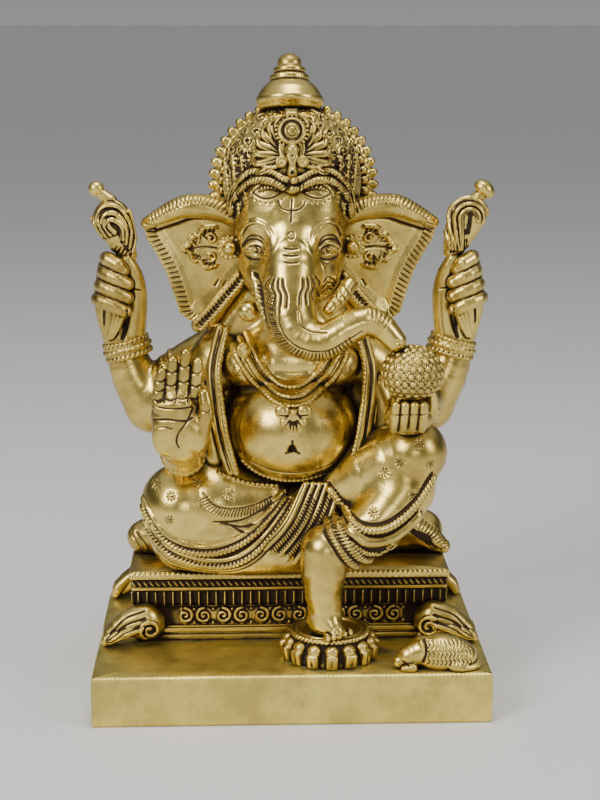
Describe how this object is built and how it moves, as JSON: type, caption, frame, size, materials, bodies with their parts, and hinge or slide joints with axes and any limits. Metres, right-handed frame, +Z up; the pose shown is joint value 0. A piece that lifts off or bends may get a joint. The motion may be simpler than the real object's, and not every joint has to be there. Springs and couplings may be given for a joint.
{
  "type": "hindu deity statue",
  "caption": "Cast brass statue of a seated, four-armed, elephant-headed deity on a footed throne and rectangular plinth, with a lotus footrest and a mouse.",
  "frame": {"origin": "centre of the plinth's underside, on the surface the statue stands on", "axes": "+Z up along the statue's height; the figure faces -Y; its own right side is at -X"},
  "size_m": [0.1503, 0.0994, 0.2399],
  "materials": {
    "brass": "polished high spots over dark patina in the recesses",
    "polished_brass": "satin, lightly tarnished"
  },
  "bodies": {
    "root": {"belly": "brass", "bolster": "brass", "chest": "brass", "crown_band": "brass", "crown_cap": "brass", "crown_knob": "brass", "crown_medallion": "brass", "crown_parasol": "brass", "dhoti_pleats": "brass", "frieze_scrolls": "brass", "front_left_arm": "brass", "front_left_bangle": "brass", "front_left_hand": "brass", "front_right_arm": "brass", "front_right_bangle": "brass", "front_right_hand": "brass", "halo_ring": "brass", "head": "brass", "hips": "brass", "left_ear": "brass", "left_ear_stud": "brass", "left_foot": "brass", "left_hair_lock": "brass", "left_held_loop": "brass", "left_shawl": "brass", "left_shin": "brass", "left_thigh": "brass", "left_tusk": "brass", "lotus_footrest": "brass", "mouse_body": "brass", "mouse_left_ear": "brass", "mouse_right_ear": "brass", "mouse_tail": "brass", "necklace": "brass", "pendant": "brass", "plinth": "polished_brass", "rear_left_arm": "brass", "rear_left_bangle": "brass", "rear_left_hand": "brass", "rear_right_arm": "brass", "rear_right_bangle": "brass", "rear_right_hand": "brass", "right_ear": "brass", "right_ear_stud": "brass", "right_hair_lock": "brass", "right_held_loop": "brass", "right_leg": "brass", "right_shawl": "brass", "right_tusk": "brass", "sweet_heap": "brass", "throne_base": "brass", "throne_foot_front_left": "brass", "throne_foot_front_right": "brass", "throne_foot_rear_left": "brass", "throne_foot_rear_right": "brass", "throne_frieze": "brass", "throne_ribbed_band": "brass", "throne_seat_slab": "brass", "trunk": "brass"}
  },
  "joints": []
}
